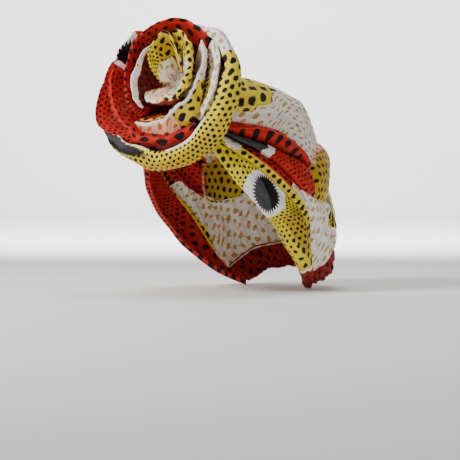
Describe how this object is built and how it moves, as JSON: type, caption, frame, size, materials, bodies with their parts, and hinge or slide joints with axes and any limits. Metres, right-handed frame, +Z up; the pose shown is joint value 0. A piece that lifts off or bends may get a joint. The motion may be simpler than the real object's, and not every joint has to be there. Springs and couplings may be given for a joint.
{
  "type": "turban head wrap",
  "caption": "Pre-tied turban head wrap in patterned cotton, gathered into folds from a forehead knot to the nape, with a large coiled rosette at the front.",
  "frame": {"origin": "inside top of the crown, where the top of the head touches the wrap", "axes": "+Z up along the standing head, -Y the way the face looks, +X the wearer's left"},
  "size_m": [0.1656, 0.2373, 0.2521],
  "materials": {
    "red_print": "woven cotton",
    "dark_red_print": "woven cotton",
    "yellow_print": "woven cotton",
    "gold_print": "woven cotton",
    "cream_print": "woven cotton",
    "peach_print": "woven cotton",
    "black_print": "woven cotton"
  },
  "bodies": {
    "root": {"back_drape": "cream_print", "back_puff": "gold_print", "bud_inner": "yellow_print", "bud_outer": "cream_print", "coil_rimmed": "dark_red_print", "coil_top": "red_print", "crown": "cream_print", "front_band_left": "yellow_print", "front_band_right": "yellow_print", "knot": "dark_red_print", "leaf_right": "cream_print", "nape_gather": "dark_red_print", "petal_outer": "red_print", "petal_rimmed": "peach_print", "petal_tip": "black_print", "roll_lower": "red_print", "rosette_ring": "yellow_print", "second_fold_left": "yellow_print", "second_fold_right": "yellow_print", "third_fold_left": "red_print", "third_fold_right": "red_print", "upper_band_left": "red_print", "upper_band_right": "red_print"}
  },
  "joints": []
}
